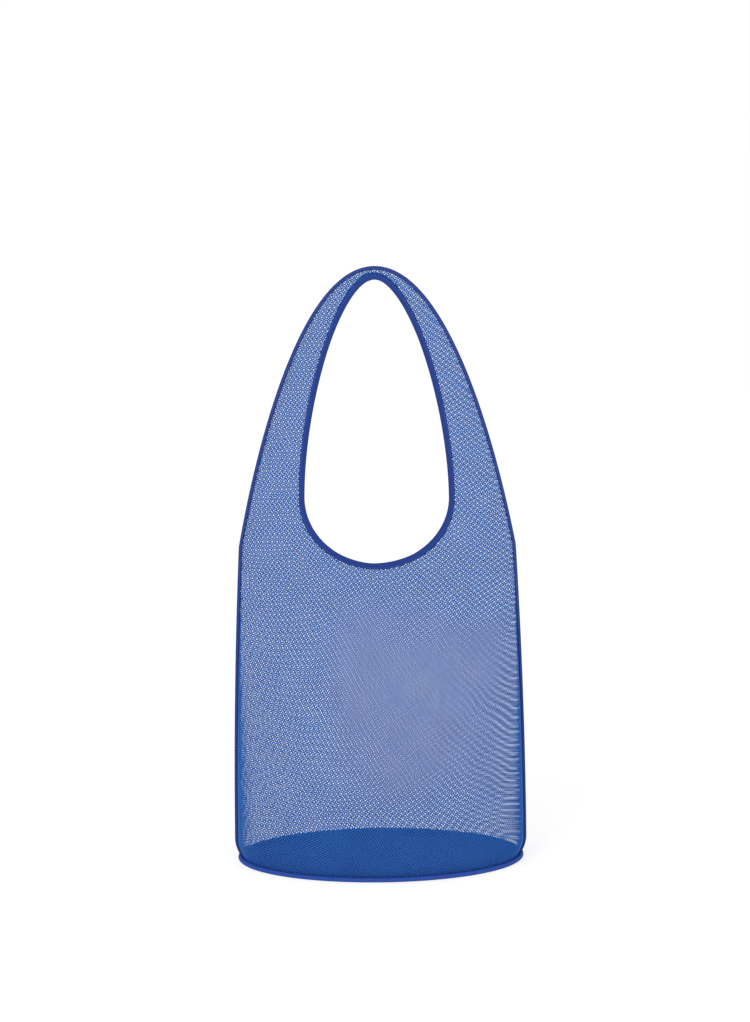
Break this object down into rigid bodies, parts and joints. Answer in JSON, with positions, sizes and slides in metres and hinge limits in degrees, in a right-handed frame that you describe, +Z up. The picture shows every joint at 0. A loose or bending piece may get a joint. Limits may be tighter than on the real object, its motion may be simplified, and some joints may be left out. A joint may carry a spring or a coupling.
{
  "type": "mesh bag",
  "caption": "See-through mesh shoulder bag: front and back panels run up into a handle loop above a bound egg-shaped mouth, on a solid oval base.",
  "frame": {"origin": "on the floor under the middle of the base", "axes": "+Z up, +X across the bag along the line between its side seams, -Y out of the front panel"},
  "size_m": [0.33, 0.1856, 0.704],
  "materials": {
    "mesh": "matt knitted nylon net",
    "binding_tape": "matt woven tape",
    "canvas": "matt close-woven canvas",
    "piping_cord": "matt cloth-covered cord"
  },
  "bodies": {
    "root": {"front_panel": "mesh", "back_panel": "mesh", "front_mouth_binding": "binding_tape", "back_mouth_binding": "binding_tape", "side_seam_binding": "binding_tape", "base_panel": "canvas", "base_piping": "piping_cord"}
  },
  "joints": []
}
